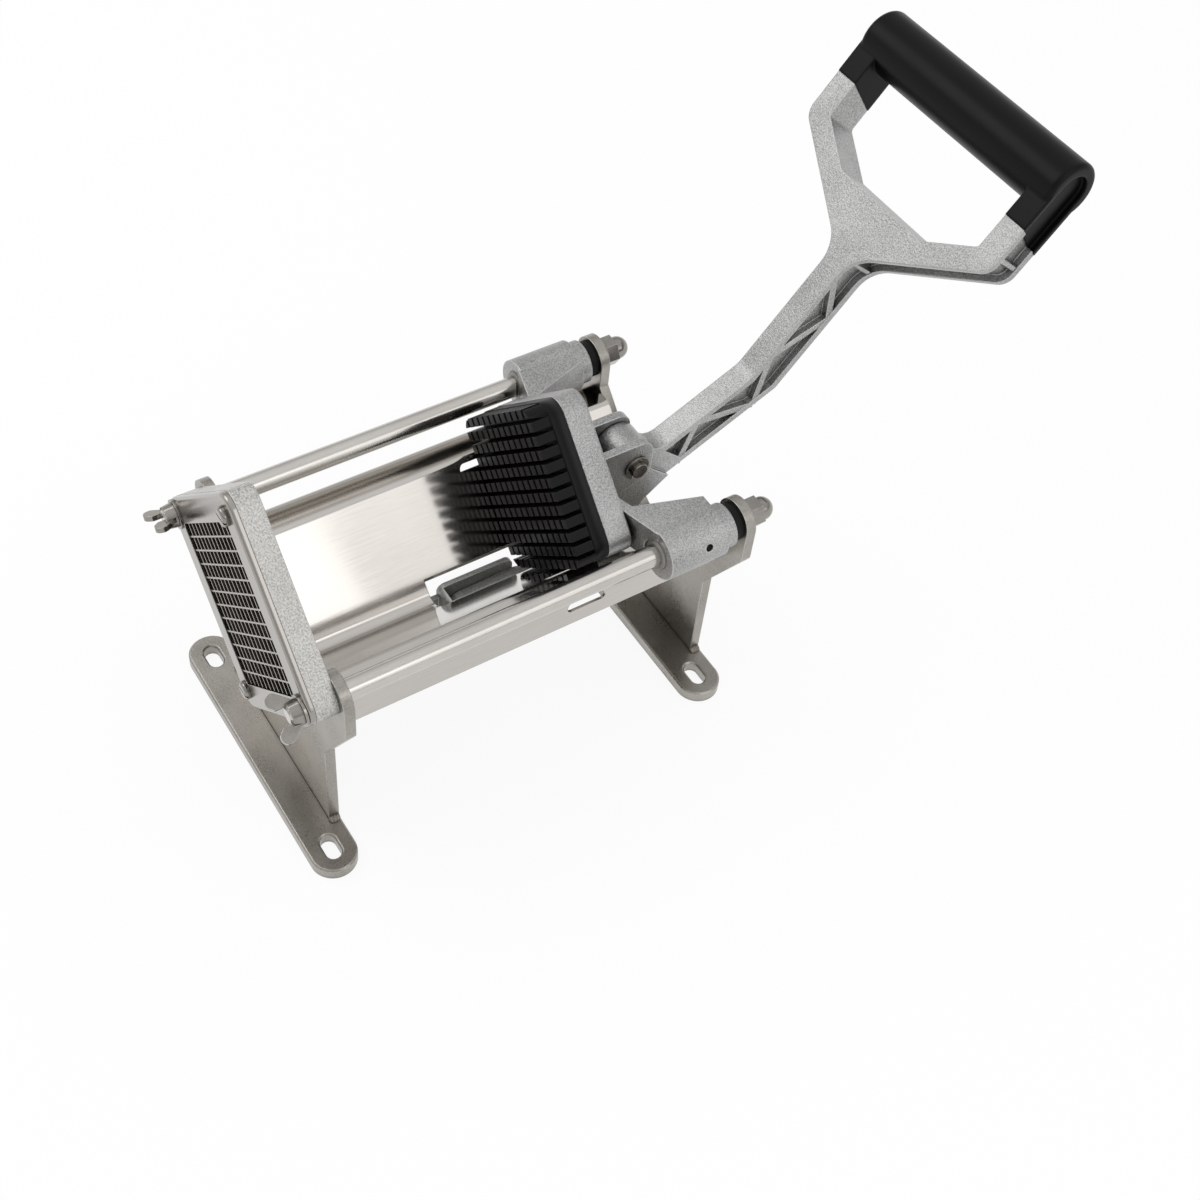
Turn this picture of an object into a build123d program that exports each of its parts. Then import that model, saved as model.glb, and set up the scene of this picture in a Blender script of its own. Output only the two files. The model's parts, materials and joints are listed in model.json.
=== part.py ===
from build123d import *
import math
import os

# Lever-operated potato slicer. Millimetres, +X to the right seen from the blade end,
# +Y towards the lever, +Z up, origin at the centre of the four bench slots on the table plane.

# Feet and legs
foot_length = 151.0
foot_width = 22.0
foot_thickness = 6.0
foot_spacing = 201.0
slot_inset = 13.5
slot_length = 13.0
slot_width = 7.4
leg_thickness = 5.0
leg_half_width = 49.0
flare_height = 59.5
ear_low_drop = 17.5
ear_radius = 10.8
ear_fillet = 5.0
notch_reach = 42.8
notch_radius = 14.0
edge_break = 0.8

# Guide rods and their nuts
axis_height = 114.5
rod_half_spacing = 60.5
rod_radius = 5.0
stud_radius = 4.0
stud_clearance = 0.2
stud_spare = 0.8
washer_radius = 7.0
washer_thickness = 1.2
rear_washer_radius = 9.0
cap_nut_flats = 13.0
cap_nut_height = 15.0
cap_nut_hex_height = 7.0
cap_nut_dome_radius = 5.6
cap_nut_wall = 3.0
wing_nut_radius = 5.8
wing_nut_tip_radius = 5.2
wing_nut_height = 4.6
wing_length = 13.0
wing_width = 6.4
wing_thickness = 2.4
wing_reach = 5.6
wing_rise = 6.0
wing_tilt = 48.0
left_wing_angle = 24.5
right_wing_angle = -27.0
bumper_radius = 9.0
bumper_thickness = 4.2
bumper_gap = 0.2
running_clearance = 0.05

# Blade cassette, a square stood on its corner
blade_pitch = 6.35
cell_count = 12
cassette_side = 100.5
cassette_corner = 8.0
cassette_depth = 10.3
cover_thickness = 3.0
cover_edge_radius = 1.6
window_corner = 2.5
window_gap = 0.3
mouth_corner = 3.0
blade_seat = 2.9
blade_seat_corner = 8.0
blade_depth = 8.0
blade_rise = 2.4
blade_thickness = 0.8
fit_gap = 0.1
cassette_screw_place = 57.5
cassette_screw_radius = 2.0
cassette_screw_head = 4.4
cassette_screw_head_height = 2.6
cassette_screw_bite = 8.0
screw_slot = 1.1

# Tray
sheet = 1.5
tray_clearance = 0.8
passage_clearance = 1.2
valley_radius = 6.0
flange_drop = 13.0
flange_reach = 57.5
bend_radius = 3.0
lip_depth = 15.0
lip_slot_length = 20.0
lip_slot_height = 5.0
lip_slot_drop = 4.0
lip_slot_from_rear = 74.8
link_slot_half_width = 9.0
link_slot_front = -13.5
tongue_half_width = 43.0

# Pusher
pivot_rest = 86.3
plate_side = 74.0
plate_corner = 10.0
plate_thickness = 8.0
plate_behind = 27.3
block_side = 75.0
block_corner = 9.0
block_base = 7.0
finger_length = 13.0
finger_gap = 2.1
pusher_screw_place = 20.0
pusher_screw_radius = 2.0
pusher_screw_head = 4.0
pusher_screw_head_height = 2.4
pusher_screw_bite = 6.0

# Carriage sleeves, arms and lugs
sleeve_radius = 12.5
sleeve_collar_radius = 10.6
sleeve_front_gap = 6.0
sleeve_collar_length = 6.0
bushing_wall = 2.0
bushing_stand = 0.6
oil_hole_radius = 1.9
oil_hole_behind = 26.0
oil_hole_angle = 21.8
arm_root_inner = 26.0
arm_root_outer = 40.0
arm_bend_reach = 40.0
arm_bend_depth = 5.0
arm_end_reach = 50.0
arm_top = 12.0
arm_bottom = 7.0
lug_thickness = 4.0
lug_gap = 0.3
lug_top = 14.0
lug_end = 8.5
lug_end_radius = 7.0
lug_foot = 20.0
pin_radius = 4.0
pin_stand = 2.4
clip_radius = 6.4
clip_thickness = 1.0
clip_mouth = 5.0

# Lever: hub, dog-leg stem, yoke and D handle, lower fork
hub_radius = 11.0
hub_width = 15.0
kink_reach = 66.7
kink_rise = 21.6
stem_angle = 26.5
handle_angle = 50.0
stem_width = 11.5
stem_depth = 21.0
flange_thickness = 3.5
web_thickness = 4.0
saddle_radius = 9.0
kink_radius = 12.0
rib_thickness = 3.4
rib_recess = 0.4
rib_pitch = 46.0
rib_lead = 18.0
rib_first = -51.0
rib_pairs = 3
pocket_first = -53.0
split_before_grip = 100.5
yoke_slope = 31.0
yoke_before_grip = 46.5
handle_half_width = 65.0
handle_arm_width = 12.0
opening_low_half = 28.5
opening_low_before_grip = 55.5
opening_side_before_grip = 41.0
opening_corner = 2.5
arm_before_grip = 34.5
yoke_fillet = 18.0
shoulder_fillet = 9.0
grip_along = 152.5
crossbar_radius = 8.0
fork_thickness = 3.0
fork_gap = 0.3
crank_eye_radius = 9.0
crank_forward = 30.3
crank_down = 72.4
crank_waist_forward = 17.5
crank_waist_down = 34.0
crank_heel_back = 10.5
crank_heel_down = 31.0
crank_root_back = 23.5
crank_root_down = 21.0

# Grip
grip_coat = 1.2
grip_stand = 0.2
grip_radius = 14.0
grip_end_fillet = 2.5
sleeve_front_length = 23.2
sleeve_back_length = 29.5
grip_end_recess = 3.0
grip_end_width = 17.0

# Drive link and its anchor under the tray
anchor_y = 4.0
anchor_drop = 12.3
link_width = 8.4
link_eye_radius = 9.0
link_back = 13.0
anchor_pin_radius = 4.0
bracket_sheet = 2.5
bracket_front = 30.0
bracket_front_low = 2.0
bracket_web_low = 6.0
bracket_eye_radius = 9.5
bracket_gap = 1.4
crown_front = 12.0
crown_rear = 28.0
crown_fillet = 4.0
crown_wall = 2.4
crown_low = 2.0
head_radius = 6.0
head_thickness = 1.2

# One overrun serves all cuts
overrun = 20.0

# Places worked out from the sizes above
slot_spacing = foot_length - 2 * slot_inset
front_y = -foot_spacing / 2
rear_y = foot_spacing / 2
front_leg_back = front_y + foot_width / 2
front_leg_face = front_leg_back - leg_thickness
rear_leg_back = rear_y + foot_width / 2
rear_leg_face = rear_leg_back - leg_thickness
body_front = front_leg_face - cassette_depth
cover_front = body_front - cover_thickness
stud_front = cover_front - washer_thickness - wing_nut_height - stud_spare
cap_nut_seat = rear_leg_back + washer_thickness
stud_hole = stud_radius + stud_clearance
grid_size = blade_pitch * cell_count
plate_back = pivot_rest - plate_behind
plate_face = plate_back - plate_thickness
block_face = plate_face - block_base
sleeve_front = plate_back + sleeve_front_gap
sleeve_rear = rear_leg_face - bumper_thickness - bumper_gap - bushing_stand
tray_reach = block_side / 2 + tray_clearance
valley_height = axis_height - tray_reach * math.sqrt(2)
anchor_z = valley_height - anchor_drop
block_low = axis_height - block_side / math.sqrt(2) + block_corner * (math.sqrt(2) - 1)
hub_half = hub_width / 2
lug_inner = hub_half + lug_gap
lug_outer = lug_inner + lug_thickness
fork_inner = link_width / 2 + fork_gap
fork_outer = fork_inner + fork_thickness
bushing_radius = rod_radius + running_clearance + bushing_wall
recess = (stem_width - web_thickness) / 2
arm_inner = handle_half_width - handle_arm_width
stem_split = grip_along - split_before_grip
yoke_outer_along = grip_along - yoke_before_grip
opening_low_along = grip_along - opening_low_before_grip
opening_side_along = grip_along - opening_side_before_grip
yoke_top = grip_along - arm_before_grip
grip_front_along = grip_along - sleeve_front_length
grip_back_along = grip_along - sleeve_back_length
crank_y = pivot_rest - crank_forward
crank_z = axis_height - crank_down

axis_frame = Plane(origin=(0, 0, axis_height), x_dir=(1, 0, 0), z_dir=(0, -1, 0))
side_frame = Plane(origin=(0, pivot_rest, axis_height), x_dir=(0, 1, 0), z_dir=(1, 0, 0))
bend = math.radians(handle_angle)
handle_frame = Plane(
    origin=(0, pivot_rest + kink_reach, axis_height + kink_rise),
    x_dir=(1, 0, 0),
    z_dir=(0, -math.sin(bend), math.cos(bend)),
)
handle_side = Pos(kink_reach, kink_rise) * Rot(0, 0, handle_angle)
diamond = Rot(0, 0, 45)
on_base = (Align.CENTER, Align.CENTER, Align.MIN)
from_front = (Align.CENTER, Align.MIN, Align.CENTER)


def along_y(sketch, start, end):
    # A section drawn across the rod axis, run from one Y to another
    return extrude(axis_frame.offset(-start) * sketch, end - start, dir=(0, 1, 0))


def across_x(sketch, start, end, frame=side_frame):
    # A side profile run from one X to another
    return extrude(frame.offset(start) * sketch, end - start, dir=(1, 0, 0))


def rod_y(x, radius, start, end):
    # A round bar along Y at rod height
    return along_y(Pos(x, 0) * Circle(radius), start, end)


def bar_x(y, z, radius, start, end):
    # A round bar along X
    frame = Plane(origin=(0, y, z), x_dir=(0, 1, 0), z_dir=(1, 0, 0))
    return across_x(Circle(radius), start, end, frame)


def both_sides(right):
    # A right-hand piece together with its left-hand twin
    return right + mirror(right, Plane.YZ)


def corner_square(side, radius):
    # A square stood on its corner, with rounded corners
    return diamond * RectangleRounded(side, side, radius)


def polygon(points):
    return make_face(Polyline(*points, close=True))


def symmetric(points):
    # A closed outline from the points of its right half
    return polygon(points + [(-x, y) for x, y in reversed(points) if x])


def near(sketch, x, y):
    # The corner of a sketch closest to a point
    return min(sketch.vertices(), key=lambda v: (v.X - x) ** 2 + (v.Y - y) ** 2)


# Feet
def foot(y):
    outline = SlotOverall(foot_length, foot_width)
    for x in (-slot_spacing / 2, slot_spacing / 2):
        outline -= Pos(x, 0) * SlotOverall(slot_length, slot_width)
    bar = Pos(0, y, 0) * extrude(outline, foot_thickness)
    rims = bar.edges().filter_by_position(Axis.Z, foot_thickness, foot_thickness)
    return chamfer(rims, edge_break)


# Leg plates: two ears for the rods over a narrow foot, with a notch in line with the tray
def leg(face):
    ear_out = rod_half_spacing + ear_radius
    ear_in = rod_half_spacing - ear_radius
    low = foot_thickness - axis_height
    flare = flare_height - axis_height
    ear_low = -ear_low_drop
    apex = -notch_reach * math.sqrt(2)
    outer = [(leg_half_width, low), (leg_half_width, flare), (ear_out, ear_low), (ear_out, 0)]
    inner = [(ear_in, 0), (ear_in, apex + ear_in), (0, apex)]
    outline = symmetric(outer + inner)
    outline = fillet(near(outline, 0, apex), notch_radius)
    for x in (-ear_out, ear_out):
        outline = fillet(near(outline, x, ear_low), ear_fillet)
    for x in (-rod_half_spacing, rod_half_spacing):
        outline += Pos(x, 0) * Circle(ear_radius)
    for x in (-rod_half_spacing, rod_half_spacing):
        outline -= Pos(x, 0) * Circle(stud_hole)
    return along_y(outline, face, face + leg_thickness)


def front_leg():
    # The pusher passes through the front plate
    passage = corner_square(block_side + 2 * passage_clearance, block_corner + passage_clearance)
    return leg(front_leg_face) - along_y(passage, front_leg_face, front_leg_back)


# Guide rods with turned-down ends for the nuts
def guide_rod(x):
    rod = rod_y(x, rod_radius, front_leg_back, rear_leg_face)
    rod += rod_y(x, stud_radius, stud_front, front_leg_back)
    tail = cap_nut_seat + cap_nut_height - cap_nut_wall
    rod += rod_y(x, stud_radius, rear_leg_face, tail)
    ends = rod.edges().filter_by(GeomType.CIRCLE).sort_by(Axis.Y)
    return chamfer([ends[0], ends[-1]], edge_break)


def washer(x, radius, start):
    end = start + washer_thickness
    return rod_y(x, radius, start, end) - rod_y(x, stud_hole, start, end)


def cap_nut(x):
    frame = Plane(origin=(x, cap_nut_seat, axis_height), x_dir=(1, 0, 0), z_dir=(0, 1, 0))
    dome_base = cap_nut_height - cap_nut_dome_radius
    nut = extrude(RegularPolygon(cap_nut_flats / 2, 6, major_radius=False), cap_nut_hex_height)
    nut += extrude(Circle(cap_nut_dome_radius), dome_base)
    nut += Pos(0, 0, dome_base) * Sphere(cap_nut_dome_radius)
    nut -= extrude(Circle(stud_radius + fit_gap), cap_nut_height - cap_nut_wall + fit_gap)
    return frame * nut


def wing_nut(x, angle):
    seat = cover_front - washer_thickness
    frame = Plane(origin=(x, seat, axis_height), x_dir=(1, 0, 0), z_dir=(0, -1, 0))
    nut = Cone(wing_nut_radius, wing_nut_tip_radius, wing_nut_height, align=on_base)
    wing = Pos(wing_reach, wing_rise) * Rot(0, 0, wing_tilt) * SlotOverall(wing_length, wing_width)
    nut += both_sides(extrude(Plane.XZ * wing, wing_thickness / 2, both=True))
    nut -= Cylinder(stud_radius + running_clearance, 2 * overrun)
    return frame * (Rot(0, 0, angle) * nut)


def bumper(x):
    start = rear_leg_face - bumper_thickness
    ring = rod_y(x, bumper_radius, start, rear_leg_face)
    return ring - rod_y(x, rod_radius + fit_gap, start, rear_leg_face)


# Cassette: cast body, cover plate, two sets of half-lapped blades
corner_places = [(x, 0) for x in (-rod_half_spacing, rod_half_spacing)]
screw_places = [(0, z) for z in (-cassette_screw_place, cassette_screw_place)]


def drilled(plate, places, radius, start, end):
    # A plate with the same hole at several places
    for x, z in places:
        plate -= along_y(Pos(x, z) * Circle(radius), start, end)
    return plate


def cassette_body():
    body = along_y(corner_square(cassette_side, cassette_corner), body_front, front_leg_face)
    body -= along_y(corner_square(grid_size, mouth_corner), body_front, front_leg_face)
    seat = corner_square(grid_size + 2 * blade_seat, blade_seat_corner)
    body -= along_y(seat, body_front, body_front + blade_depth)
    body = drilled(body, corner_places, stud_hole, body_front, front_leg_face)
    bite = body_front + cassette_screw_bite + fit_gap
    return drilled(body, screw_places, cassette_screw_radius + fit_gap, body_front, bite)


def cassette_cover():
    plate = along_y(corner_square(cassette_side, cassette_corner), cover_front, body_front)
    rims = plate.edges().filter_by_position(Axis.Y, cover_front, cover_front)
    plate = fillet(rims, cover_edge_radius)
    plate -= along_y(corner_square(grid_size, window_corner), cover_front, body_front)
    plate = drilled(plate, corner_places, stud_hole, cover_front, body_front)
    return drilled(plate, screw_places, cassette_screw_radius + fit_gap, cover_front, body_front)


def pan_screw(head, height, shank, length):
    # A slotted pan-head screw along Z with the seat of its head at zero
    screw = extrude(Circle(head), height)
    rim = screw.edges().filter_by_position(Axis.Z, height, height)
    screw = fillet(rim, height / 2)
    screw -= Pos(0, 0, height) * Box(2 * head, screw_slot, height)
    return screw + extrude(Circle(shank), length, dir=(0, 0, -1))


def cassette_screw(z):
    length = cover_thickness + cassette_screw_bite
    screw = pan_screw(cassette_screw_head, cassette_screw_head_height, cassette_screw_radius, length)
    return axis_frame.offset(-cover_front) * (Pos(0, z, 0) * screw)


def blade_set(turn, notch_side):
    # Parallel strips held by their ends, each notched to half its depth where the other set crosses
    half = grid_size / 2 + blade_seat - fit_gap
    strip = Rectangle(2 * half, blade_depth)
    strip += Pos(0, (blade_depth + blade_rise) / 2) * Rectangle(grid_size - 2 * window_gap, blade_rise)
    depth = blade_depth + blade_rise
    middle = blade_rise / 2
    notch = Rectangle(blade_thickness + 2 * fit_gap, depth / 2 + fit_gap)
    places = range(1 - cell_count // 2, cell_count // 2)
    for step in places:
        strip -= Pos(step * blade_pitch, middle + notch_side * depth / 4) * notch
    blade = extrude(Plane.XZ * strip, blade_thickness / 2, both=True)
    stand = axis_frame.offset(-(body_front + blade_depth / 2))
    rows = [Rot(0, 0, turn) * Pos(0, step * blade_pitch, 0) * blade for step in places]
    return Compound([stand * row for row in rows])


# Tray: one bent sheet, a trough with flanges under the rods and turned-down lips
def potato_tray():
    top = axis_height - flange_drop - sheet / 2
    apex = valley_height - sheet / math.sqrt(2)
    lip = flange_reach - sheet / 2
    low = axis_height - flange_drop - lip_depth
    points = [(lip, low), (lip, top), (top - apex, top), (0, apex)]
    points += [(-x, z) for x, z in reversed(points[:-1])]
    bends = [bend_radius, bend_radius, valley_radius + sheet / 2, bend_radius, bend_radius]
    section = trace(FilletPolyline(*points, radius=bends), sheet)
    stand = Plane(origin=(0, front_leg_back, 0), x_dir=(1, 0, 0), z_dir=(0, -1, 0))
    tray = extrude(stand * section, rear_leg_face - front_leg_back, dir=(0, 1, 0))
    # The trough alone runs on through the notch of the front plate to the cassette
    tongue = extrude(stand * section, leg_thickness - fit_gap, dir=(0, -1, 0))
    through = Pos(0, front_leg_back, axis_height)
    tray += tongue & through * Box(2 * tongue_half_width, 2 * leg_thickness, 2 * axis_height)
    run = rear_leg_face - link_slot_front + overrun
    slot = Box(2 * link_slot_half_width, run, 2 * overrun, align=from_front)
    tray -= Pos(0, link_slot_front, valley_height) * slot
    lip_y = rear_leg_face - lip_slot_from_rear
    lip_z = axis_height - flange_drop - lip_slot_drop
    frame = Plane(origin=(0, lip_y, lip_z), x_dir=(0, 1, 0), z_dir=(1, 0, 0))
    oblong = SlotOverall(lip_slot_length, lip_slot_height)
    for start in (-flange_reach - overrun, flange_reach - overrun):
        tray -= across_x(oblong, start, start + 2 * overrun, frame)
    return tray


# Bracket under the tray that anchors the drive link between two cheeks, which rise into the slot
def link_bracket():
    frame = Plane(origin=(0, anchor_y, anchor_z), x_dir=(0, 1, 0), z_dir=(1, 0, 0))
    cheek_inner = link_width / 2 + fork_gap
    cheek_outer = cheek_inner + bracket_sheet
    web_end = link_slot_front - anchor_y
    roof = valley_height - anchor_z + overrun
    crown = block_low - bracket_gap - anchor_z
    side = polygon([
        (0, -bracket_eye_radius),
        (-bracket_front, bracket_front_low),
        (-bracket_front, roof),
        (web_end, roof),
        (web_end, bracket_eye_radius),
        (0, bracket_eye_radius),
    ])
    crest = polygon([
        (-crown_front, 0),
        (-crown_front, crown),
        (crown_rear, crown),
        (crown_rear, crown_low),
        (0, -bracket_eye_radius),
    ])
    for reach in (-crown_front, crown_rear):
        crest = fillet(near(crest, reach, crown), crown_fillet)
    side += [crest, Circle(bracket_eye_radius)]
    side -= Circle(anchor_pin_radius + fit_gap)
    bracket = both_sides(across_x(side, cheek_inner, cheek_outer, frame))
    web = polygon([
        (-bracket_front, bracket_web_low),
        (-bracket_front, roof),
        (web_end, roof),
        (web_end, bracket_web_low + bracket_eye_radius),
    ])
    front_wall = crest & Pos(crown_wall / 2 - crown_front, crown / 2) * Rectangle(crown_wall, crown)
    for joining in (web, front_wall):
        bracket += across_x(joining, -cheek_outer, cheek_outer, frame)
    apex = valley_height - sheet * math.sqrt(2)
    wide = [(-overrun, apex + overrun), (0, apex), (overrun, apex + overrun)]
    line = FilletPolyline(*wide, radius=valley_radius + sheet)
    sky = Polyline(wide[0], (-overrun, axis_height), (overrun, axis_height), wide[2])
    start = anchor_y - 2 * bracket_front
    stand = Plane(origin=(0, start, 0), x_dir=(1, 0, 0), z_dir=(0, -1, 0))
    return bracket - extrude(stand * make_face(line + sky), link_slot_front - start, dir=(0, 1, 0))


def bracket_pin():
    end = link_width / 2 + fork_gap + bracket_sheet
    pin = bar_x(anchor_y, anchor_z, anchor_pin_radius, -end, end)
    return pin + both_sides(bar_x(anchor_y, anchor_z, head_radius, end, end + head_thickness))


# Pusher: grid block of fingers screwed to the carriage
pusher_steps = (-pusher_screw_place, pusher_screw_place)
pusher_places = [(x, z) for x in pusher_steps for z in pusher_steps]


def pusher_block():
    block = along_y(corner_square(block_side, block_corner), block_face, plate_face)
    side = blade_pitch - finger_gap
    places = [(step + 1 / 2 - cell_count / 2) * blade_pitch for step in range(cell_count)]
    fingers = Sketch() + [Pos(x, z) * Rectangle(side, side) for x in places for z in places]
    fingers &= RectangleRounded(block_side, block_side, block_corner)
    block += along_y(diamond * fingers, block_face - finger_length, block_face)
    bite = plate_face - pusher_screw_bite - fit_gap
    return drilled(block, pusher_places, pusher_screw_radius + fit_gap, bite, plate_face)


def pusher_screws():
    length = plate_thickness + pusher_screw_bite
    screw = pan_screw(pusher_screw_head, pusher_screw_head_height, pusher_screw_radius, length)
    stand = Plane(origin=(0, plate_back, axis_height), x_dir=(1, 0, 0), z_dir=(0, 1, 0))
    return Compound([stand * (Pos(x, z, 0) * screw) for x, z in pusher_places])


# Carriage: back plate, two sleeves on webs, two lugs for the lever
def carriage():
    body = along_y(corner_square(plate_side, plate_corner), plate_face, plate_back)
    collar = sleeve_rear - sleeve_collar_length
    web = polygon([
        (arm_root_inner, plate_back),
        (arm_root_outer, plate_back),
        (rod_half_spacing, sleeve_front),
        (rod_half_spacing, collar),
        (arm_end_reach, collar),
        (arm_bend_reach, plate_back + arm_bend_depth),
    ])
    half = extrude(Pos(0, 0, axis_height - arm_bottom) * web, arm_top + arm_bottom, dir=(0, 0, 1))
    half += rod_y(rod_half_spacing, sleeve_radius, sleeve_front, collar)
    half += rod_y(rod_half_spacing, sleeve_collar_radius, collar, sleeve_rear)
    lug = polygon([
        (-plate_behind, lug_top),
        (lug_end, lug_top),
        (lug_end, -lug_end),
        (-plate_behind, -lug_foot),
    ])
    lug = fillet([near(lug, lug_end, lug_top), near(lug, lug_end, -lug_end)], lug_end_radius)
    lug -= Circle(pin_radius + fit_gap)
    half += across_x(lug, lug_inner, lug_outer)
    turn = math.radians(oil_hole_angle)
    out = (math.cos(turn), 0, math.sin(turn))
    hole_place = (rod_half_spacing, plate_back + oil_hole_behind, axis_height)
    hole_frame = Plane(origin=hole_place, x_dir=(0, 1, 0), z_dir=out)
    half -= extrude(hole_frame * Circle(oil_hole_radius), overrun, dir=out)
    body += both_sides(half)
    for x in (-rod_half_spacing, rod_half_spacing):
        body -= rod_y(x, bushing_radius + fit_gap, sleeve_front - overrun, sleeve_rear + overrun)
    return drilled(body, pusher_places, pusher_screw_radius + fit_gap, plate_face, plate_back)


def bushing(x):
    start = sleeve_front - bushing_stand
    end = sleeve_rear + bushing_stand
    tube = rod_y(x, bushing_radius, start, end)
    return tube - rod_y(x, rod_radius + running_clearance, start, end)


def lever_pin():
    end = lug_outer + clip_thickness + pin_stand
    return bar_x(pivot_rest, axis_height, pin_radius, -end, end)


def pin_clips():
    ring = Circle(clip_radius) - Circle(pin_radius + fit_gap)
    ring -= Pos(0, -clip_radius) * Rectangle(clip_mouth, 2 * clip_radius)
    return both_sides(across_x(ring, lug_outer + fit_gap, lug_outer + fit_gap + clip_thickness))


# Lever: hub, dog-leg stem of I section, yoke, D handle and lower fork
def spot(along, across, angle):
    # A point reached from the kink of the stem, along and across a slanted edge
    turn = math.radians(angle)
    y = kink_reach + along * math.cos(turn) - across * math.sin(turn)
    return (y, kink_rise + along * math.sin(turn) + across * math.cos(turn))


def tangent(point, centre, radius, side):
    # Where a line from a point touches a circle
    reach = math.dist(point, centre)
    turn = math.atan2(point[1] - centre[1], point[0] - centre[0])
    turn += side * math.acos(radius / reach)
    return (centre[0] + radius * math.cos(turn), centre[1] + radius * math.sin(turn))


def zigzag():
    # Diagonal ribs from flange to flange, along the stem and round its kink
    nodes = []
    for step in range(rib_pairs):
        low = rib_first + step * rib_pitch
        nodes.append((low, flange_thickness / 2 - stem_depth))
        nodes.append((low + rib_lead, -flange_thickness / 2))
    ends = [spot(x, y, handle_angle if x > 0 else stem_angle) for x, y in nodes]
    return Sketch() + [trace(Line(*pair), rib_thickness) for pair in zip(ends, ends[1:])]


def stem():
    kink = (kink_reach, kink_rise)
    slope = math.radians(stem_angle)
    drop = kink_reach * math.sin(slope) - kink_rise * math.cos(slope)
    back = kink_reach * math.cos(slope) + kink_rise * math.sin(slope)
    reach = math.sqrt((hub_radius + saddle_radius) ** 2 - (saddle_radius - drop) ** 2) - back
    foot_point = spot(-back, 0, stem_angle)
    hollow = spot(reach, saddle_radius, stem_angle)
    saddle = polygon([(0, 0), hollow, spot(reach, 0, stem_angle), foot_point])
    saddle -= Pos(*hollow) * Circle(saddle_radius)
    outline = polygon([
        foot_point,
        kink,
        spot(stem_split, 0, handle_angle),
        spot(stem_split, -stem_depth, handle_angle),
        spot(0, -stem_depth, handle_angle),
        (crank_root_back, -crank_root_down),
    ])
    outline = fillet(near(outline, *kink), kink_radius)
    outline += [Circle(hub_radius), saddle]
    pocket = polygon([
        spot(pocket_first, -flange_thickness, stem_angle),
        spot(0, -flange_thickness, stem_angle),
        spot(stem_split, -flange_thickness, handle_angle),
        spot(stem_split, flange_thickness - stem_depth, handle_angle),
        spot(0, flange_thickness - stem_depth, handle_angle),
        (crank_root_back + 2 * flange_thickness, 2 * flange_thickness - crank_root_down),
    ])
    cut = across_x(pocket, web_thickness / 2, stem_width)
    return across_x(outline, -stem_width / 2, stem_width / 2) - both_sides(cut)


def yoke_face(inset):
    # The yoke seen on the handle face, drawn in from its outer edge
    slope = math.radians(yoke_slope)
    neck = stem_width / 2 - inset
    side = handle_half_width - inset
    low = yoke_outer_along + inset / math.cos(slope)
    bend = (neck, low - (handle_half_width - neck) * math.tan(slope))
    shoulder = (side, low - inset * math.tan(slope))
    face = symmetric([(neck, stem_split), bend, shoulder, (side, yoke_top)])
    for x in (-1, 1):
        face = fillet(near(face, x * bend[0], bend[1]), yoke_fillet + inset)
        face = fillet(near(face, x * shoulder[0], shoulder[1]), shoulder_fillet - inset)
    return face


def yoke():
    opening = symmetric([
        (opening_low_half, opening_low_along),
        (arm_inner, opening_side_along),
        (arm_inner, yoke_top + overrun),
    ])
    corners = opening.vertices().sort_by(Axis.Y)[:4]
    opening = fillet(corners, opening_corner)
    outline = yoke_face(0) - opening
    frame = extrude(handle_frame.offset(-stem_depth) * outline, stem_depth, dir=handle_frame.z_dir)
    groove = yoke_face(0) - yoke_face(recess)
    low = handle_frame.offset(flange_thickness - stem_depth)
    return frame - extrude(low * groove, stem_depth - 2 * flange_thickness, dir=handle_frame.z_dir)


def bar_profile(start_top, start_low, grow):
    # Round-ended side profile of the handle arms, grown all round
    top = grow
    low = -stem_depth - grow
    face = polygon([(start_top, top), (grip_along, top), (grip_along, low), (start_low, low)])
    return handle_side * (face + Pos(grip_along, -stem_depth / 2) * Circle(stem_depth / 2 + grow))


def tang(grow):
    # What the grip is moulded over: the slimmed ends of the arms and the bar across
    inner = arm_inner + grip_coat - grow
    end = bar_profile(yoke_top, yoke_top, grow - grip_coat)
    arm = across_x(end, inner, handle_half_width - recess + grow)
    bar = handle_side * Pos(grip_along, -stem_depth / 2) * Circle(crossbar_radius + grow)
    return both_sides(arm) + across_x(bar, -inner, inner)


def handle_arms():
    # The two arms with their outer channel, up to the grip
    front = grip_front_along - fit_gap
    back = grip_back_along - fit_gap
    bare = bar_profile(yoke_top, yoke_top, 0) - bar_profile(front, back, grip_stand)
    arm = across_x(bare, arm_inner, handle_half_width)
    channel = bar_profile(yoke_top, yoke_top, -flange_thickness)
    return both_sides(arm - across_x(channel, handle_half_width - recess, handle_half_width + overrun))


def fork_cheek():
    eye = (-crank_forward, -crank_down)
    waist = (-crank_waist_forward, -crank_waist_down)
    heel = (crank_heel_back, -crank_heel_down)
    cheek = polygon([
        (0, 0),
        tangent(waist, (0, 0), hub_radius, -1),
        waist,
        tangent(waist, eye, crank_eye_radius, 1),
        tangent(heel, eye, crank_eye_radius, -1),
        heel,
        (crank_root_back, -crank_root_down),
    ])
    cheek += Pos(*eye) * Circle(crank_eye_radius)
    return cheek + Circle(hub_radius) - Pos(*eye) * Circle(pin_radius + fit_gap)


def lever():
    body = stem() + across_x(Circle(hub_radius), -hub_half, hub_half)
    body += both_sides(across_x(fork_cheek(), fork_inner, fork_outer))
    body += yoke()
    body += handle_arms()
    body += tang(0)
    rib_face = stem_width / 2 - rib_recess
    body += across_x(zigzag(), -rib_face, rib_face)
    return body - bar_x(pivot_rest, axis_height, pin_radius + running_clearance, -overrun, overrun)


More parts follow.
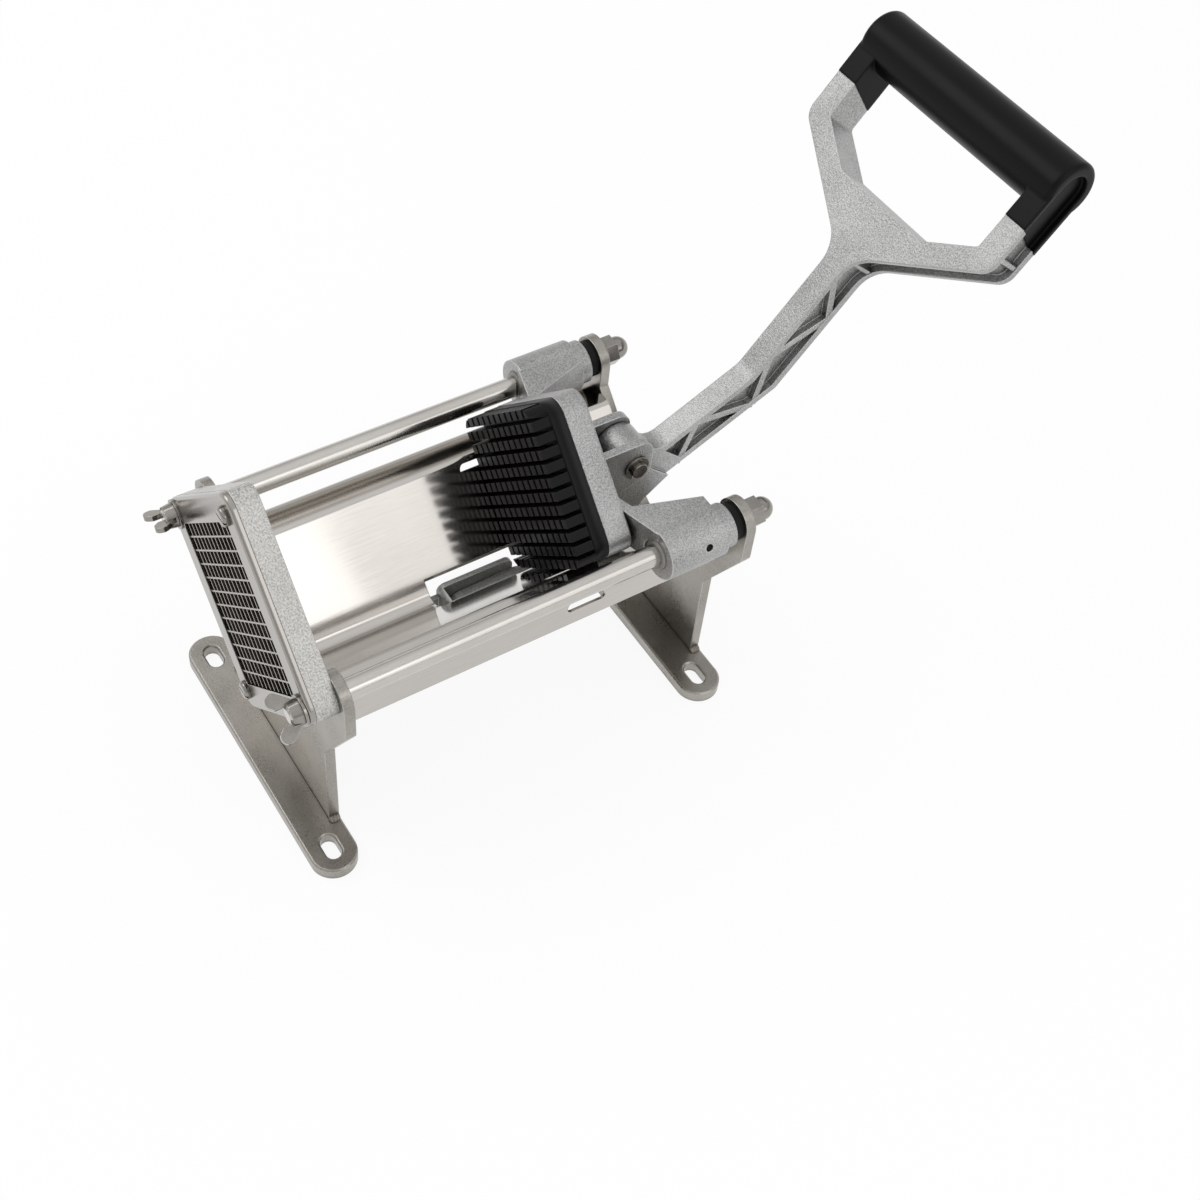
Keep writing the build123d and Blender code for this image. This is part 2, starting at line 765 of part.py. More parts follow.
def crank_pin():
    stub = bar_x(crank_y, crank_z, pin_radius, fork_inner, fork_outer)
    stub += bar_x(crank_y, crank_z, head_radius, fork_outer, fork_outer + head_thickness)
    return both_sides(stub)


# Grip: a sleeve moulded over the ends of the arms and the bar
def grip():
    outer = handle_half_width + grip_stand
    sleeve = bar_profile(grip_front_along, grip_back_along, grip_stand)
    arm = across_x(sleeve, arm_inner - grip_stand, outer)
    bar = across_x(handle_side * Pos(grip_along, -stem_depth / 2) * Circle(grip_radius), -outer, outer)
    bar = fillet(bar.edges().filter_by(GeomType.CIRCLE), grip_end_fillet)
    hollow = bar_profile(yoke_top, yoke_top, (grip_end_width - stem_depth) / 2)
    recessed = both_sides(across_x(hollow, outer - grip_end_recess, outer + overrun))
    return both_sides(arm) + bar - recessed - tang(fit_gap)


# Drive link between the anchor and the fork
def drive_link():
    rise = crank_z - anchor_z
    run = crank_y - anchor_y
    frame = Plane(origin=(0, anchor_y, anchor_z), x_dir=(0, run, rise), z_dir=(1, 0, 0))
    length = math.hypot(run, rise)
    bar = polygon([
        (0, link_eye_radius),
        (length / 2, link_back),
        (length, link_eye_radius),
        (length, -link_eye_radius),
        (0, -link_eye_radius),
    ])
    bar += [Circle(link_eye_radius), Pos(length, 0) * Circle(link_eye_radius)]
    bar -= Circle(anchor_pin_radius + running_clearance)
    bar -= Pos(length, 0) * Circle(pin_radius + fit_gap)
    return across_x(bar, -link_width / 2, link_width / 2, frame)


def link_pin():
    return bar_x(crank_y, crank_z, pin_radius, -link_width / 2, link_width / 2)


pieces = {
    "front_foot": foot(front_y),
    "rear_foot": foot(rear_y),
    "front_leg_plate": front_leg(),
    "rear_leg_plate": leg(rear_leg_face),
    "potato_tray": potato_tray(),
    "link_bracket": link_bracket(),
    "bracket_pin": bracket_pin(),
    "cassette_body": cassette_body(),
    "cassette_cover": cassette_cover(),
    "top_cassette_screw": cassette_screw(cassette_screw_place),
    "bottom_cassette_screw": cassette_screw(-cassette_screw_place),
    "rising_blades": blade_set(45, 1),
    "falling_blades": blade_set(-45, -1),
    "carriage": carriage(),
    "pusher_block": pusher_block(),
    "pusher_screws": pusher_screws(),
    "lever_pin": lever_pin(),
    "pin_clips": pin_clips(),
    "lever": lever(),
    "crank_pin": crank_pin(),
    "grip": grip(),
    "drive_link": drive_link(),
    "link_pin": link_pin(),
}
sides = {"left": (-rod_half_spacing, left_wing_angle), "right": (rod_half_spacing, right_wing_angle)}
for side, (x, angle) in sides.items():
    pieces[side + "_guide_rod"] = guide_rod(x)
    pieces[side + "_front_washer"] = washer(x, washer_radius, cover_front - washer_thickness)
    pieces[side + "_rear_washer"] = washer(x, rear_washer_radius, rear_leg_back)
    pieces[side + "_cap_nut"] = cap_nut(x)
    pieces[side + "_wing_nut"] = wing_nut(x, angle)
    pieces[side + "_bumper"] = bumper(x)
    pieces[side + "_bushing"] = bushing(x)

os.makedirs("parts", exist_ok=True)
for name, piece in pieces.items():
    export_step(piece, f"parts/{name}.step")
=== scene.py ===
import json
import math
import bmesh
import bpy
import numpy as np
from mathutils import Matrix, Vector


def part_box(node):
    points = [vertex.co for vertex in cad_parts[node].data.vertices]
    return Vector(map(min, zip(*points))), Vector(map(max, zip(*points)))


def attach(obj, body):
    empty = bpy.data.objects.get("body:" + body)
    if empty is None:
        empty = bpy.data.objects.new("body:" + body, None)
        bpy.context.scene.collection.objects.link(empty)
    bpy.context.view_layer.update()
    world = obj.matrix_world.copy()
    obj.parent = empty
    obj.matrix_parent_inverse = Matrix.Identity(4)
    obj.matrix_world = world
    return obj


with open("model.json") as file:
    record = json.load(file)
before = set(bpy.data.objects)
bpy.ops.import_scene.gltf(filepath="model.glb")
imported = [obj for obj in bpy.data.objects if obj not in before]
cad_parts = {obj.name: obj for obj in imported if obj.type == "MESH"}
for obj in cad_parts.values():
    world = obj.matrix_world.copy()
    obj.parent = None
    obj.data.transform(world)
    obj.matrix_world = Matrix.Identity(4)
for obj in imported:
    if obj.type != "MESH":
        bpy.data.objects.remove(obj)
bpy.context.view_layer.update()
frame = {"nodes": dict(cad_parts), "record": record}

nodes = frame["nodes"]
mm = 0.001
axisHeight = 114.5  # of the rods and the cassette, mm
print("frame loaded:", len(nodes), "nodes")


def linear(hexColour):
    # sRGB hex to linear: each channel c becomes ((c + 0.055) / 1.055) ^ 2.4, or c / 12.92 when dark
    c = np.array([int(hexColour[i:i + 2], 16) for i in (1, 3, 5)]) / 255
    out = np.where(c <= 0.04045, c / 12.92, ((c + 0.055) / 1.055) ** 2.4)
    return (*out.tolist(), 1.0)


def addNode(tree, kind, inputs=None, **settings):
    # one node with its settings: an input that is itself a socket is linked, any other is set
    node = tree.nodes.new("ShaderNode" + kind)
    for key, value in settings.items():
        setattr(node, key, value)
    for socket, value in (inputs or {}).items():
        if isinstance(value, bpy.types.NodeSocket):
            tree.links.new(value, node.inputs[socket])
        else:
            node.inputs[socket].default_value = value
    return node


# Finishes. Sizes are millimetres: grain is the fine texture, cloud the slow drift of tone, edge the reach of
# the lighter edges, partly wear and partly painted highlight, and reach that of the painted shade in inner
# corners. Real grit is about 0.2 mm and real scratches are finer still, too fine to show in the render, so
# every grain is drawn coarser than it is.
# What follows holds for each finish that doesn't say otherwise. A band is two values of a measure: the effect
# starts at the first and is full at the second. The bite is the band of the grain
commonFinish = {
    "stretch": (1, 1, 1), "grainDetail": 3.0, "grainRoughness": 0.6, "bite": (0.3, 0.7),
    "cloudDetail": 4.0, "cloudBand": (0.3, 0.7), "drift": 0.6,
    "wearAndHighlightBand": (0.98, 0.86), "samples": 6,
    "paintedShade": 0.0, "paintedShadeColour": "#2B2825", "paintedShadeBand": (0.85, 0.35), "reach": 3.0,
    "sockets": {}}
colourA, colourB, colourOut = 6, 7, 2  # places of the colour sockets in a Mix node


def makeFinish(name, own):
    # tone and roughness both follow a share of the drift plus the rest of the grain, edges are lightened to a
    # third colour as wear and painted highlight, and inner corners are darkened with painted shade
    spec = {**commonFinish, **own}
    material = bpy.data.materials.new(name)
    material.use_nodes = True
    tree = material.node_tree
    shader = tree.nodes["Principled BSDF"]
    shader.inputs["Metallic"].default_value = spec["metallic"]
    for socket, value in spec["sockets"].items():
        shader.inputs[socket].default_value = value
    place = addNode(tree, "TexCoord").outputs["Object"]
    drawn = addNode(tree, "Mapping", {"Vector": place, "Scale": spec["stretch"]})
    grain = addNode(tree, "TexNoise", {
        "Vector": drawn.outputs["Vector"], "Scale": 1 / (spec["grain"] * mm),
        "Detail": spec["grainDetail"], "Roughness": spec["grainRoughness"]})
    cloud = addNode(tree, "TexNoise", {
        "Vector": place, "Scale": 1 / (spec["cloud"] * mm), "Detail": spec["cloudDetail"]})
    start, full = spec["cloudBand"]
    drift = addNode(tree, "MapRange", {
        "Value": cloud.outputs["Fac"], "From Min": start, "From Max": full, "To Max": spec["drift"]})
    start, full = spec["bite"]
    speckle = addNode(tree, "MapRange", {
        "Value": grain.outputs["Fac"], "From Min": start, "From Max": full, "To Max": 1 - spec["drift"]})
    blend = addNode(tree, "Math", {
        0: drift.outputs["Result"], 1: speckle.outputs["Result"]}, operation="ADD")
    tone = addNode(tree, "Mix", {
        "Factor": blend.outputs["Value"], colourA: linear(spec["dark"]), colourB: linear(spec["light"])},
        data_type="RGBA")
    # lighter edges, partly wear and partly painted highlight: where the rounded normal leaves the flat one
    soft = addNode(tree, "Bevel", {"Radius": spec["edge"] * mm}, samples=spec["samples"])
    flat = addNode(tree, "NewGeometry")
    agree = addNode(tree, "VectorMath", {
        0: soft.outputs["Normal"], 1: flat.outputs["True Normal"]}, operation="DOT_PRODUCT")
    start, full = spec["wearAndHighlightBand"]
    wearAndHighlightShare = addNode(tree, "MapRange", {
        "Value": agree.outputs["Value"], "From Min": start, "From Max": full})
    edgeLightened = addNode(tree, "Mix", {
        "Factor": wearAndHighlightShare.outputs["Result"], colourA: tone.outputs[colourOut], colourB: linear(spec["edgeWearAndHighlight"])},
        data_type="RGBA")
    # painted shade: inner corners, where near faces shut out the light, are darkened towards a shade colour
    corner = addNode(tree, "AmbientOcclusion", {"Distance": spec["reach"] * mm}, samples=spec["samples"])
    start, full = spec["paintedShadeBand"]
    paintedShadeShare = addNode(tree, "MapRange", {
        "Value": corner.outputs["AO"], "From Min": start, "From Max": full, "To Max": spec["paintedShade"]})
    cornerShaded = addNode(tree, "Mix", {
        "Factor": paintedShadeShare.outputs["Result"], colourA: edgeLightened.outputs[colourOut],
        colourB: linear(spec["paintedShadeColour"])}, data_type="RGBA")
    tree.links.new(cornerShaded.outputs[colourOut], shader.inputs["Base Color"])
    low, high = spec["rough"]
    rough = addNode(tree, "MapRange", {"Value": blend.outputs["Value"], "To Min": low, "To Max": high})
    tree.links.new(rough.outputs["Result"], shader.inputs["Roughness"])
    bump = addNode(tree, "Bump", {
        "Height": grain.outputs["Fac"], "Strength": spec["relief"], "Distance": spec["depth"] * mm,
        "Normal": soft.outputs["Normal"]})
    tree.links.new(bump.outputs["Normal"], shader.inputs["Normal"])
    return material


finishes = {
    # stainless flat bar and plate, bead blasted: soft grey with a warm cast and no clear mirror
    "blasted_steel": ("blastedStainless", {
        "metallic": 1.0, "dark": "#8A8680", "light": "#B0ACA6", "edgeWearAndHighlight": "#C6C2BC", "edge": 0.7, "paintedShade": 0.5,
        "grain": 1.0, "bite": (0.36, 0.64), "cloud": 22, "rough": (0.24, 0.38), "relief": 0.4,
        "depth": 0.16}),
    # cold-rolled stainless sheet, polished along the trough: long soft reflections
    "polished_steel": ("polishedStainlessSheet", {
        "metallic": 1.0, "dark": "#B8B4AF", "light": "#C6C2BD", "edgeWearAndHighlight": "#D8D5D1", "edge": 0.4, "paintedShade": 0.4,
        "grain": 0.7, "stretch": (1, 0.05, 1), "cloud": 60, "rough": (0.06, 0.14), "relief": 0.06,
        "depth": 0.05}),
    # stainless plate of the cover, brushed crosswise: a greyer sheen that no longer mirrors
    "cover_steel": ("brushedStainlessPlate", {
        "metallic": 1.0, "dark": "#98948F", "light": "#A6A29D", "edgeWearAndHighlight": "#C6C3BE", "edge": 0.5, "paintedShade": 0.5,
        "grain": 0.7, "stretch": (0.06, 1, 1), "cloud": 40, "rough": (0.16, 0.26), "relief": 0.08,
        "depth": 0.05}),
    # ground steel bar: clear bright streaks along its length
    "rod_steel": ("groundSteelBar", {
        "metallic": 1.0, "dark": "#BBB7B2", "light": "#CBC8C3", "edgeWearAndHighlight": "#D8D5D1", "edge": 0.4,
        "grain": 0.6, "stretch": (1, 0.15, 1), "cloud": 40, "rough": (0.14, 0.22), "relief": 0.06,
        "depth": 0.05}),
    # nickel plate on turned and pressed fasteners: small clear reflections, with painted shade in the corners
    "plated_steel": ("nickelPlatedSteel", {
        "metallic": 1.0, "dark": "#86827D", "light": "#A29E99", "edgeWearAndHighlight": "#C6C3BE", "edge": 0.35, "paintedShade": 0.65,
        "grain": 0.8, "cloud": 9, "rough": (0.1, 0.2), "relief": 0.08, "depth": 0.06}),
    # hardened strip, ground on both faces: an even satin grey, darker than the rods
    "blade_steel": ("groundBladeStrip", {
        "metallic": 1.0, "dark": "#928B83", "light": "#A69F97", "edgeWearAndHighlight": "#BBB5AE", "edge": 0.15,
        "grain": 0.5, "cloud": 12, "rough": (0.2, 0.3), "relief": 0.08, "depth": 0.04}),
    # aluminium casting, tumbled: matt silver with a fine sparkle and brighter edges, partly wear and partly
    # painted highlight
    "cast_aluminium": ("tumbledCastAluminium", {
        "metallic": 1.0, "dark": "#848483", "light": "#C4C4C3", "edgeWearAndHighlight": "#D4D4D3", "edge": 0.9, "paintedShade": 0.5,
        "grain": 0.7, "bite": (0.38, 0.62), "cloud": 26, "drift": 0.3, "rough": (0.28, 0.46),
        "relief": 0.75, "depth": 0.28}),
    # the cassette's casting, shot blasted after machining: the palest metal, with a coarse sparkle
    "pale_casting": ("shotBlastedCastAluminium", {
        "metallic": 1.0, "dark": "#989794", "light": "#D8D7D4", "edgeWearAndHighlight": "#E0DFDC", "edge": 0.8, "paintedShade": 0.5,
        "grain": 0.8, "bite": (0.38, 0.62), "cloud": 26, "drift": 0.25, "rough": (0.28, 0.46),
        "relief": 0.8, "depth": 0.32}),
    # the casting of the link and its bracket, blasted only: a grey oxide skin, so not wholly metallic
    "dark_casting": ("blastedCastAluminium", {
        "metallic": 0.75, "dark": "#8A8A88", "light": "#B4B4B1", "edgeWearAndHighlight": "#C6C6C3", "edge": 0.8,
        "grain": 1.1, "bite": (0.36, 0.64), "cloud": 14, "drift": 0.3, "rough": (0.34, 0.52),
        "relief": 0.75, "depth": 0.32}),
    # weld metal after blasting: darker and rougher than the plates
    "weld": ("blastedWeldMetal", {
        "metallic": 1.0, "dark": "#6E6963", "light": "#908A83", "edgeWearAndHighlight": "#A8A29B", "edge": 0.3,
        "grain": 0.9, "cloud": 5, "rough": (0.28, 0.42), "relief": 0.5, "depth": 0.15}),
    # painted shade for the gaps of the joints: nearly black and matt
    "joint": ("jointGapShade", {
        "metallic": 0.0, "dark": "#171513", "light": "#24211E", "edgeWearAndHighlight": "#24211E", "edge": 0.2,
        "grain": 0.8, "cloud": 7, "rough": (0.6, 0.8), "relief": 0.3, "depth": 0.1}),
    # moulded nitrile rings: a deep black with hardly a highlight
    "black_rubber": ("mouldedNitrileRubber", {
        "metallic": 0.0, "dark": "#0C0C0C", "light": "#121212", "edgeWearAndHighlight": "#1A1A1A", "edge": 0.4,
        "grain": 0.5, "cloud": 8, "rough": (0.5, 0.65), "relief": 0.2, "depth": 0.1,
        "sockets": {"Specular IOR Level": 0.2}}),
    # turned nylon bearing bush: warm grey with a dull sheen
    "grey_nylon": ("turnedNylon", {
        "metallic": 0.0, "dark": "#86837E", "light": "#94918C", "edgeWearAndHighlight": "#A09D98", "edge": 0.3,
        "grain": 0.6, "cloud": 8, "rough": (0.4, 0.5), "relief": 0.1, "depth": 0.06}),
    # dipped vinyl: near black, smooth, with soft wide highlights
    "black_vinyl": ("dippedVinyl", {
        "metallic": 0.0, "dark": "#060607", "light": "#0A0A0B", "edgeWearAndHighlight": "#0D0D0E", "edge": 1.6,
        "grain": 1.1, "cloud": 30, "rough": (0.3, 0.4), "relief": 0.12, "depth": 0.12,
        "sockets": {"Specular IOR Level": 0.14}}),
    # moulded acetal fingers: satin black with greyer edges, partly wear and partly painted highlight
    "black_acetal": ("mouldedAcetal", {
        "metallic": 0.0, "dark": "#09090A", "light": "#0E0E0F", "edgeWearAndHighlight": "#2A2A2B", "edge": 0.35,
        "grain": 0.9, "cloud": 12, "rough": (0.34, 0.46), "relief": 0.12, "depth": 0.08,
        "sockets": {"Specular IOR Level": 0.15}}),
}
materials = {slot: makeFinish(*entry) for slot, entry in finishes.items()}
print("finishes made:", len(materials))

# Each node has the finish of its slot, and a few have one of their own
slotOf = {entry["node"]: entry["material_slot"] for entry in frame["record"]["subparts"]}
ownFinish = {
    "cassette_body": "pale_casting", "cassette_cover": "cover_steel",
    "drive_link": "dark_casting", "link_bracket": "dark_casting"}
for nodeName, obj in nodes.items():
    obj.data.materials.clear()
    obj.data.materials.append(materials[ownFinish.get(nodeName, slotOf[nodeName])])
print("nodes dressed")


def gridPiece(name, points, finish, body, wrapU=False, wrapV=False):
    # a surface from a grid of points, rows u and columns v, joined round where asked;
    # where only the columns are joined round, the first and last rows are closed with one face each
    rows, cols = points.shape[:2]
    u, v = np.meshgrid(
        np.arange(rows if wrapU else rows - 1), np.arange(cols if wrapV else cols - 1), indexing="ij")
    here, after = u * cols, (u + 1) % rows * cols
    nextV = (v + 1) % cols
    corners = np.stack([here + v, after + v, after + nextV, here + nextV], -1)
    faces = corners.reshape(-1, 4).tolist()
    if wrapV and not wrapU:
        faces += [list(range(cols)), list(range((rows - 1) * cols, rows * cols))]
    mesh = bpy.data.meshes.new(name)
    mesh.from_pydata(points.reshape(-1, 3).tolist(), [], faces)
    shape = bmesh.new()
    shape.from_mesh(mesh)
    bmesh.ops.recalc_face_normals(shape, faces=shape.faces)
    shape.to_mesh(mesh)
    shape.free()
    mesh.polygons.foreach_set("use_smooth", np.ones(len(faces), bool))
    mesh.materials.append(finish)
    obj = bpy.data.objects.new(name, mesh)
    bpy.context.scene.collection.objects.link(obj)
    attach(obj, body)


# Pieces of the scene's own, in millimetres.
# Welds where each leg plate stands on its foot: a short bead at each end of the plate
weldSpec = {
    "plateHalf": 49.0, "leg": 2.5, "sunk": 0.3, "overlap": 0.7, "slump": 0.25,
    "ripple": 0.12, "ripples": 4, "endShare": 0.02, "rows": 41, "cols": 12}


def weldPoints(face, back, top, side):
    # across: a quarter round about the corner of plate end and foot, slumped outwards low down and closed
    # through a point inside both; along: its radius rises and falls as |sin|, and draws in towards both ends
    # as the root of a half circle
    u = np.linspace(0, 1, weldSpec["rows"])[:, None]
    turn = np.linspace(0, np.pi / 2, weldSpec["cols"])[None, :]
    swell = np.sqrt(np.sqrt(np.clip(1 - (2 * u - 1) ** 2, weldSpec["endShare"], 1)))
    wave = np.abs(np.sin(np.pi * weldSpec["ripples"] * u)) - 1
    radius = weldSpec["leg"] * swell * (1 + weldSpec["ripple"] * wave)
    out = radius * np.cos(turn) * (1 + weldSpec["slump"] * np.cos(turn) ** 4)
    up = radius * np.sin(turn)
    root = np.full((len(u), 1), -weldSpec["sunk"])
    out, up = np.hstack([root, out]), np.hstack([root, up])
    along = face - weldSpec["overlap"] + u * (back - face + weldSpec["overlap"]) + 0 * out
    return np.stack([side * (weldSpec["plateHalf"] + out), along, top + up], -1) * mm


# Painted shade of the joint along the face of each leg plate: a dark strip where the gap would be in shade
seamSpec = {"radius": 0.4, "sunk": 0.2, "stop": 0.6, "rows": 9}


def seamPoints(face, top):
    # a thin three-cornered strip in the angle of plate and foot, straight from end to end
    reach = weldSpec["plateHalf"] - seamSpec["stop"]
    x = np.linspace(-1, 1, seamSpec["rows"])[:, None] * reach
    y = face + np.array([[seamSpec["sunk"], -seamSpec["radius"], seamSpec["sunk"]]]) + 0 * x
    z = top + np.array([[-seamSpec["sunk"], -seamSpec["sunk"], seamSpec["radius"]]]) + 0 * x
    return np.stack([x + 0 * y, y, z], -1) * mm


for end in ("front", "rear"):
    low, high = np.array(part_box(end + "_leg_plate")) / mm
    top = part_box(end + "_foot")[1][2] / mm
    for side, hand in ((-1, "Left"), (1, "Right")):
        gridPiece(end + hand + "Weld", weldPoints(low[1], high[1], top, side),
                  materials["weld"], "frame", wrapV=True)
    # painted shade: a dark strip along the joint of plate and foot
    gridPiece(end + "JointShadeLine", seamPoints(low[1], top),
              materials["joint"], "frame", wrapV=True)

cornerSteps = 13  # points on a rounded corner


def cornerRing(side, corner, out):
    # a square of rounded corners stood on its corner, each corner a quarter circle about its own centre;
    # rows go round it, and columns stand off it by the values of out
    quarter = np.repeat(np.arange(4), cornerSteps)
    angle = quarter * np.pi / 2 + np.tile(np.linspace(0, np.pi / 2, cornerSteps), 4)
    lean = quarter * np.pi / 2 + np.pi / 4
    centre = (side / 2 - corner) * np.sqrt(2)
    radius = corner + out[None, :]
    a = (centre * np.cos(lean))[:, None] + radius * np.cos(angle)[:, None]
    b = (centre * np.sin(lean))[:, None] + radius * np.sin(angle)[:, None]
    tilt = np.pi / 4
    return a * np.cos(tilt) - b * np.sin(tilt), a * np.sin(tilt) + b * np.cos(tilt) + axisHeight


# Painted shade of the joint between the cassette and its cover: a dark strip round the whole square
coverSpec = {"side": 100.5, "corner": 8.0, "proud": 0.06, "width": 0.35, "sunk": 0.3}


def coverLinePoints(joint):
    # a shallow three-cornered strip that straddles the joint, carried round the cassette's outline
    out = np.array([-coverSpec["sunk"], coverSpec["proud"], -coverSpec["sunk"]])
    along = np.array([[-coverSpec["width"] / 2, 0, coverSpec["width"] / 2]])
    x, z = cornerRing(coverSpec["side"], coverSpec["corner"], out)
    return np.stack([x, joint + along + 0 * x, z], -1) * mm


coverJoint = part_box("cassette_body")[0][1] / mm
gridPiece("coverJointShade", coverLinePoints(coverJoint), materials["joint"], "frame",
          wrapU=True, wrapV=True)

# Bead that closes the gap between the trough and the notch of the front plate, under the trough.
# Each edge is its flank's distance from the rod axis, the radius at the foot and the width where it stops
beadSpec = {
    "tray": (39.4, 7.1, 38.0), "notch": (43.4, 14.6, 40.6), "proud": 1.1, "sunk": 0.3,
    "ripple": 0.2, "ripples": 44, "footSteps": 13, "flankSteps": 61, "cols": 11}


def veeEdge(reach, radius, stop):
    # a V on a round foot: from the lowest point an eighth of a circle, then straight up at 45 degrees,
    # and the mirror image of both before them
    turn = np.linspace(0, np.pi / 4, beadSpec["footSteps"])
    slope = np.sqrt(0.5)
    climb = np.linspace(0, stop - radius * slope, beadSpec["flankSteps"])[1:]
    x = np.concatenate([radius * np.sin(turn), radius * slope + climb])
    z = np.concatenate([-radius * np.cos(turn), -radius * slope + climb]) - (reach - radius) / slope
    return np.stack([np.concatenate([-x[:0:-1], x]), np.concatenate([z[:0:-1], z])], -1)


def trayBeadPoints(face):
    # across: from the trough's edge to the notch's as half a sine wave, proud of the plate in the middle;
    # along: its height rises and falls as |sin|
    inner, outer = veeEdge(*beadSpec["tray"]), veeEdge(*beadSpec["notch"])
    v = np.linspace(0, 1, beadSpec["cols"])[None, :]
    xz = inner[:, None, :] * (1 - v[..., None]) + outer[:, None, :] * v[..., None]
    u = np.linspace(0, 1, len(inner))[:, None]
    wave = np.abs(np.sin(np.pi * beadSpec["ripples"] * u)) - 1
    rise = beadSpec["sunk"] + beadSpec["proud"] * (1 + beadSpec["ripple"] * wave)
    y = face - beadSpec["sunk"] + rise * np.sin(np.pi * v)
    return np.stack([xz[..., 0], y, xz[..., 1] + axisHeight], -1) * mm


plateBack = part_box("front_leg_plate")[1][1] / mm
gridPiece("trayBead", trayBeadPoints(plateBack), materials["weld"], "frame", wrapV=True)
print("welds and joint lines laid")


# Cross ribs cast in the outer channel of the yoke, at the neck and at the shoulder of each arm.
# The handle's face starts at the kink, in y and z, and climbs at the angle. A place on it is across, along,
# and the outward direction there
yokeSpec = {
    "kink": (153.0, 136.1), "angle": 50.0, "depth": 21.0, "flange": 3.5, "groove": 3.75,
    "thick": 2.3, "shy": 0.2, "sunk": 0.3, "root": 0.7, "rootFall": 0.6, "crown": 0.5,
    "neck": (8.1, 69.1, 0.870, -0.493), "shoulder": (65.0, 113.5, 1.0, 0.0), "rows": 9, "sideSteps": 24}


def yokeRibPoints(place, side):
    # across: half the thickness, plus a root fillet that dies away as exp(-height), rounded off as an ellipse
    # at the crown; along: straight from flange to flange of the channel
    x0, a0, nx, na = place
    tall = yokeSpec["groove"] - yokeSpec["shy"]
    climb = np.linspace(-yokeSpec["sunk"], tall, yokeSpec["sideSteps"])
    cap = np.clip((climb - tall) / yokeSpec["crown"] + 1, 0, 1)
    fillet = yokeSpec["root"] * np.exp(-climb / yokeSpec["rootFall"])
    half = (yokeSpec["thick"] / 2 + fillet) - yokeSpec["crown"] * (1 - np.sqrt(1 - cap ** 2))
    height = np.concatenate([climb, climb[::-1]])[None, :]
    width = np.concatenate([half, -half[::-1]])[None, :]
    end = yokeSpec["flange"] - yokeSpec["sunk"]
    down = np.linspace(end, yokeSpec["depth"] - end, yokeSpec["rows"])[:, None]
    out = height - yokeSpec["groove"]
    x = side * (x0 + out * nx - width * na)
    a = a0 + out * na + width * nx
    turn = np.radians(yokeSpec["angle"])
    y = yokeSpec["kink"][0] + a * np.cos(turn) + down * np.sin(turn)
    z = yokeSpec["kink"][1] + a * np.sin(turn) - down * np.cos(turn)
    return np.stack([x + 0 * y, y, z], -1) * mm


for word in ("neck", "shoulder"):
    for side, hand in ((-1, "Left"), (1, "Right")):
        gridPiece(word + hand + "Rib", yokeRibPoints(yokeSpec[word], side),
                  materials["cast_aluminium"], "lever", wrapV=True)
print("yoke ribs cast")


# Cast rim that makes the pusher's plate as thick as it looks, and the web at the roots of its fingers
pusherSpec = {
    "side": 75.0, "corner": 9.0, "plate": 8.0, "base": 7.0, "forward": 4.0,
    "rimProud": 0.25, "rimInside": 1.0, "backRound": 0.8, "frontRound": 0.4, "shy": 0.15, "rimSteps": 6,
    "webProud": 0.05, "webRound": 0.3, "webSteps": 5}


def plateRimPoints(joint):
    # a flat band with a quarter round on each outer edge, carried round the pusher's outline
    turn = np.linspace(0, np.pi / 2, pusherSpec["rimSteps"])
    back, front = joint + pusherSpec["plate"] - pusherSpec["shy"], joint - pusherSpec["forward"]
    big, small = pusherSpec["backRound"], pusherSpec["frontRound"]
    edge = pusherSpec["rimProud"]
    out = np.concatenate([
        [-pusherSpec["rimInside"]], edge - big + big * np.sin(turn),
        edge - small + small * np.cos(turn), [-pusherSpec["rimInside"]]])
    along = np.concatenate([
        [back], back - big + big * np.cos(turn), front + small - small * np.sin(turn), [front]])
    x, z = cornerRing(pusherSpec["side"], pusherSpec["corner"], out)
    return np.stack([x, along[None, :] + 0 * x, z], -1) * mm


def fingerWebPoints(joint):
    # a slab of the pusher's outline, from inside the rim to past the fingers' roots, with a quarter round on
    # its front edge; rows go through it, columns round it
    turn = np.linspace(0, np.pi / 2, pusherSpec["webSteps"])
    small = pusherSpec["webRound"]
    back = joint - pusherSpec["forward"] + small
    front = joint - pusherSpec["base"] - pusherSpec["forward"]
    out = pusherSpec["webProud"] - small + np.concatenate([[small], small * np.cos(turn)])
    along = np.concatenate([[back], front + small - small * np.sin(turn)])
    x, z = cornerRing(pusherSpec["side"], pusherSpec["corner"], out)
    return np.stack([x, along[None, :] + 0 * x, z], -1).swapaxes(0, 1) * mm


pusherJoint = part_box("pusher_block")[1][1] / mm
gridPiece("plateRim", plateRimPoints(pusherJoint), materials["cast_aluminium"], "carriage",
          wrapU=True, wrapV=True)
gridPiece("fingerWeb", fingerWebPoints(pusherJoint), materials["black_acetal"], "carriage",
          wrapV=True)
print("pusher rim and finger web cast")


# Stage, in metres: a pale floor, three soft banks, a white sweep low down all round and a surround that
# brightens towards overhead. The sweep is given by the sines of the heights where it starts to fade and ends
stageSpec = {
    "floorHalf": 40.0, "floor": "#FAFAFA", "paperRough": 0.6, "whiten": 0.9,
    "horizonLevel": 0.36, "zenithLevel": 1.0, "sweep": (0.16, 0.32)}
lampSpec = {
    "frontBank": {"at": (-0.70, -0.53, 1.10), "size": 0.8, "watts": 3.5, "aim": (0, 0, 0.1)},
    "rearBank": {"at": (1.10, 0.38, 0.88), "size": 0.9, "watts": 2.0, "aim": (0, 0, 0.1)},
    "sideBank": {"at": (0.96, 0.18, 0.90), "size": 0.26, "watts": 0.15, "aim": (0, -0.05, 0.1)}}
plainWhite = linear("#FFFFFF")


